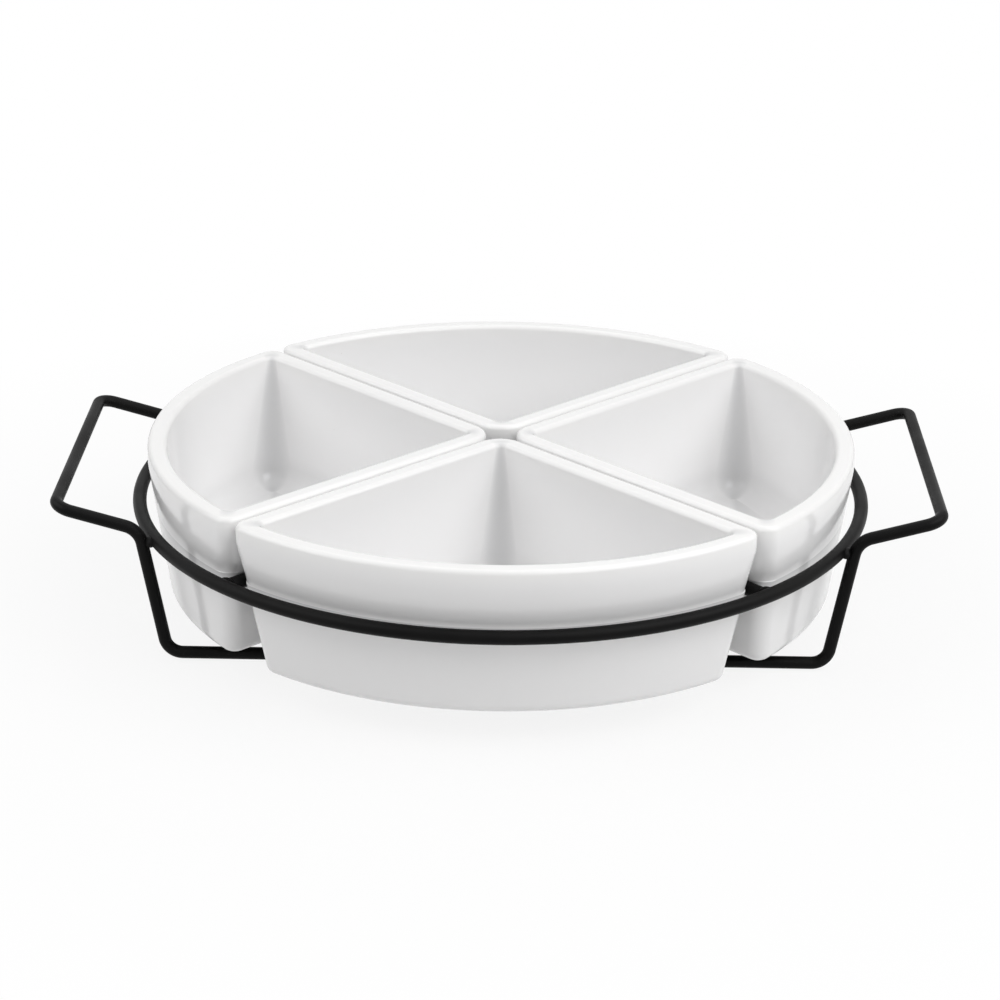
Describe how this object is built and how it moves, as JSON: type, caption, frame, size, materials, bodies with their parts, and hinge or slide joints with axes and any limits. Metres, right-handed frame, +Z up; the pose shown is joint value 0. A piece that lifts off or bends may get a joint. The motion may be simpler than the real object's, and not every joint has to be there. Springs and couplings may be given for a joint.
{
  "type": "chip and dip server",
  "caption": "Round serving set of quarter-round white ceramic dishes that hang by their collars in a black wire rack with two raised end handles.",
  "frame": {"origin": "on the table, under the centre of the rack", "axes": "+X towards the right handle, +Y towards the rear dish, +Z up"},
  "size_m": [0.3176, 0.271, 0.0676],
  "materials": {
    "coated_wire": "satin black powder coat",
    "white_glaze": "glossy white glaze"
  },
  "bodies": {
    "rack": {"hoop": "coated_wire", "cross_wire_long": "coated_wire", "cross_wire_short_left": "coated_wire", "cross_wire_short_right": "coated_wire", "frame_wire_left": "coated_wire", "frame_wire_right": "coated_wire", "hoop_welds": "coated_wire", "cross_end_welds": "coated_wire", "cross_centre_welds": "coated_wire", "runner_welds": "coated_wire"},
    "dish_front": {"dish_front": "white_glaze"},
    "dish_left": {"dish_left": "white_glaze"},
    "dish_right": {"dish_right": "white_glaze"},
    "dish_rear": {"dish_rear": "white_glaze"}
  },
  "joints": [
    {"name": "dish_front_lift", "type": "slide", "parent": "rack", "child": "dish_front", "axis": [0, 0, 1], "range_m": [0, 0.08]},
    {"name": "dish_left_lift", "type": "slide", "parent": "rack", "child": "dish_left", "axis": [0, 0, 1], "range_m": [0, 0.08]},
    {"name": "dish_right_lift", "type": "slide", "parent": "rack", "child": "dish_right", "axis": [0, 0, 1], "range_m": [0, 0.08]},
    {"name": "dish_rear_lift", "type": "slide", "parent": "rack", "child": "dish_rear", "axis": [0, 0, 1], "range_m": [0, 0.08]}
  ]
}
